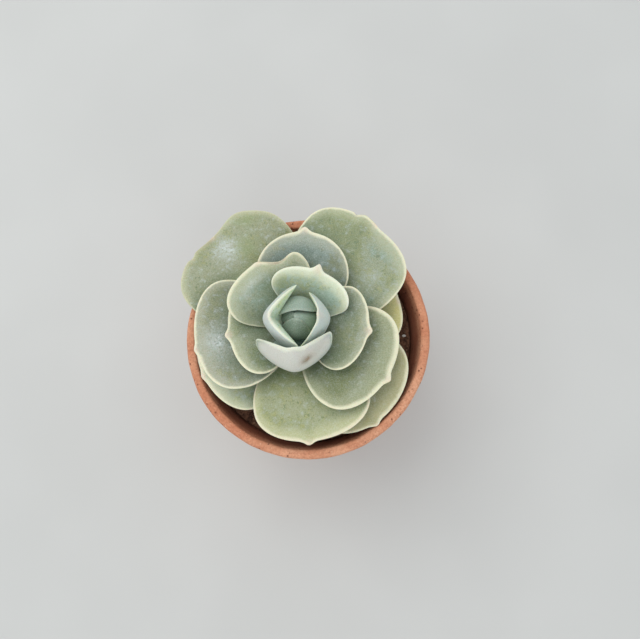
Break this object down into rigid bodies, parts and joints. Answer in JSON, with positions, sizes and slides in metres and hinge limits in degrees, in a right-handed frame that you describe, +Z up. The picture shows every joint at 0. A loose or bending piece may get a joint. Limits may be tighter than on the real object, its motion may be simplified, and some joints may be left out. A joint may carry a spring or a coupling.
{
  "type": "potted succulent",
  "caption": "Rosette succulent with broad cupped grey-green leaves on a short stem, growing in soil in a small tapered clay pot with a collar and a drain hole.",
  "frame": {"origin": "centre of the pot's foot, on the surface that it stands on", "axes": "+Z up along the pot's axis, from its foot to its mouth; +X and +Y are level, with the two large leaves that overhang the rim towards +Y"},
  "size_m": [0.1013, 0.1017, 0.1175],
  "materials": {
    "terracotta": "unglazed fired clay, matt and slightly rough, with fine pits and mineral specks",
    "potting_soil": "dark crumbly potting mix with pale grit and a few perlite grains",
    "stem_skin": "dull green-brown skin of a short fleshy stem",
    "leaf_outer": "matt grey-green leaf with a powdery waxy bloom, a pale cream margin and a faint pink tip",
    "leaf_middle": "matt blue-green leaf with a powdery waxy bloom, a pale cream margin and a faint pink tip",
    "leaf_inner": "matt pale grey-green leaf with a thick powdery bloom and a cream margin"
  },
  "bodies": {
    "root": {"leaf_01": "leaf_outer", "leaf_02": "leaf_outer", "leaf_03": "leaf_outer", "leaf_04": "leaf_outer", "leaf_05": "leaf_outer", "leaf_06": "leaf_outer", "leaf_07": "leaf_middle", "leaf_08": "leaf_middle", "leaf_09": "leaf_middle", "leaf_10": "leaf_middle", "leaf_11": "leaf_middle", "leaf_12": "leaf_middle", "leaf_13": "leaf_middle", "leaf_14": "leaf_inner", "leaf_15": "leaf_inner", "leaf_16": "leaf_inner", "leaf_17": "leaf_inner", "leaf_18": "leaf_inner", "leaf_19": "leaf_inner", "leaf_20": "leaf_inner", "pot": "terracotta", "soil": "potting_soil", "stem": "stem_skin"}
  },
  "joints": []
}
